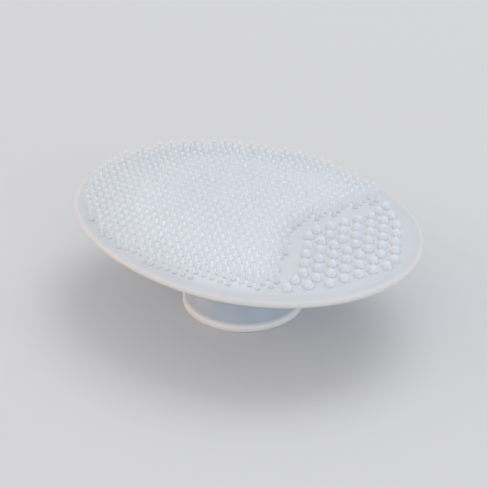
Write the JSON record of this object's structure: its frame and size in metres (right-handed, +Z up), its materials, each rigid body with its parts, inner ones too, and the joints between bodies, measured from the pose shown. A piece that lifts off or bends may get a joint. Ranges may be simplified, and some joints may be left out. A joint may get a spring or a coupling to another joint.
{
  "type": "facial cleansing brush",
  "caption": "Oval silicone pad with a field of fine bristles and a cluster of massage nubs, on a short flexible neck with a suction cup.",
  "frame": {"origin": "centre of the suction cup's mouth, on the surface that the brush stands on, under the middle of the pad", "axes": "+Z up through the cup, neck and pad; +X along the pad's length towards the massage nubs"},
  "size_m": [0.07, 0.054, 0.0223],
  "materials": {
    "pad_silicone": "translucent moulded silicone, satin",
    "bristle_silicone": "translucent moulded silicone, satin",
    "nub_silicone": "translucent moulded silicone, satin",
    "cup_silicone": "translucent moulded silicone, smooth"
  },
  "bodies": {
    "cup": {"cup_lip": "cup_silicone", "suction_cup": "cup_silicone"},
    "neck_foot": {"neck_lower": "pad_silicone"},
    "neck_head": {"neck_upper": "pad_silicone"},
    "pad": {"pad_plate": "pad_silicone", "bristle_row_01": "bristle_silicone", "bristle_row_02": "bristle_silicone", "bristle_row_03": "bristle_silicone", "bristle_row_04": "bristle_silicone", "bristle_row_05": "bristle_silicone", "bristle_row_06": "bristle_silicone", "bristle_row_07": "bristle_silicone", "bristle_row_08": "bristle_silicone", "bristle_row_09": "bristle_silicone", "bristle_row_10": "bristle_silicone", "bristle_row_11": "bristle_silicone", "bristle_row_12": "bristle_silicone", "bristle_row_13": "bristle_silicone", "bristle_row_14": "bristle_silicone", "bristle_row_15": "bristle_silicone", "bristle_row_16": "bristle_silicone", "bristle_row_17": "bristle_silicone", "bristle_row_18": "bristle_silicone", "bristle_row_19": "bristle_silicone", "bristle_row_20": "bristle_silicone", "bristle_row_21": "bristle_silicone", "bristle_row_22": "bristle_silicone", "bristle_row_23": "bristle_silicone", "bristle_row_24": "bristle_silicone", "bristle_row_25": "bristle_silicone", "bristle_row_26": "bristle_silicone", "bristle_row_27": "bristle_silicone", "bristle_row_28": "bristle_silicone", "bristle_row_29": "bristle_silicone", "nub_row_01": "nub_silicone", "nub_row_02": "nub_silicone", "nub_row_03": "nub_silicone", "nub_row_04": "nub_silicone", "nub_row_05": "nub_silicone", "nub_row_06": "nub_silicone", "nub_row_07": "nub_silicone", "nub_row_08": "nub_silicone", "nub_row_09": "nub_silicone", "nub_row_10": "nub_silicone", "nub_row_11": "nub_silicone", "nub_row_12": "nub_silicone", "nub_row_13": "nub_silicone", "nub_row_14": "nub_silicone"}
  },
  "joints": [
    {"name": "cup_press", "type": "slide", "parent": "cup", "child": "neck_foot", "axis": [0, 0, 1], "range_m": [-0.0025, 0], "stiffness_N_per_m": 800, "deforming": ["suction_cup"]},
    {"name": "neck_rock", "type": "hinge", "parent": "neck_foot", "child": "neck_head", "pos_m": [0, 0, 0.0114], "axis": [1, 0, 0], "range_deg": [-15, 15], "stiffness_Nm_per_rad": 0.1, "deforming": ["neck_lower"]},
    {"name": "neck_nod", "type": "hinge", "parent": "neck_head", "child": "pad", "pos_m": [0, 0, 0.0114], "axis": [0, 1, 0], "range_deg": [-15, 15], "stiffness_Nm_per_rad": 0.1, "deforming": ["neck_upper"]}
  ]
}
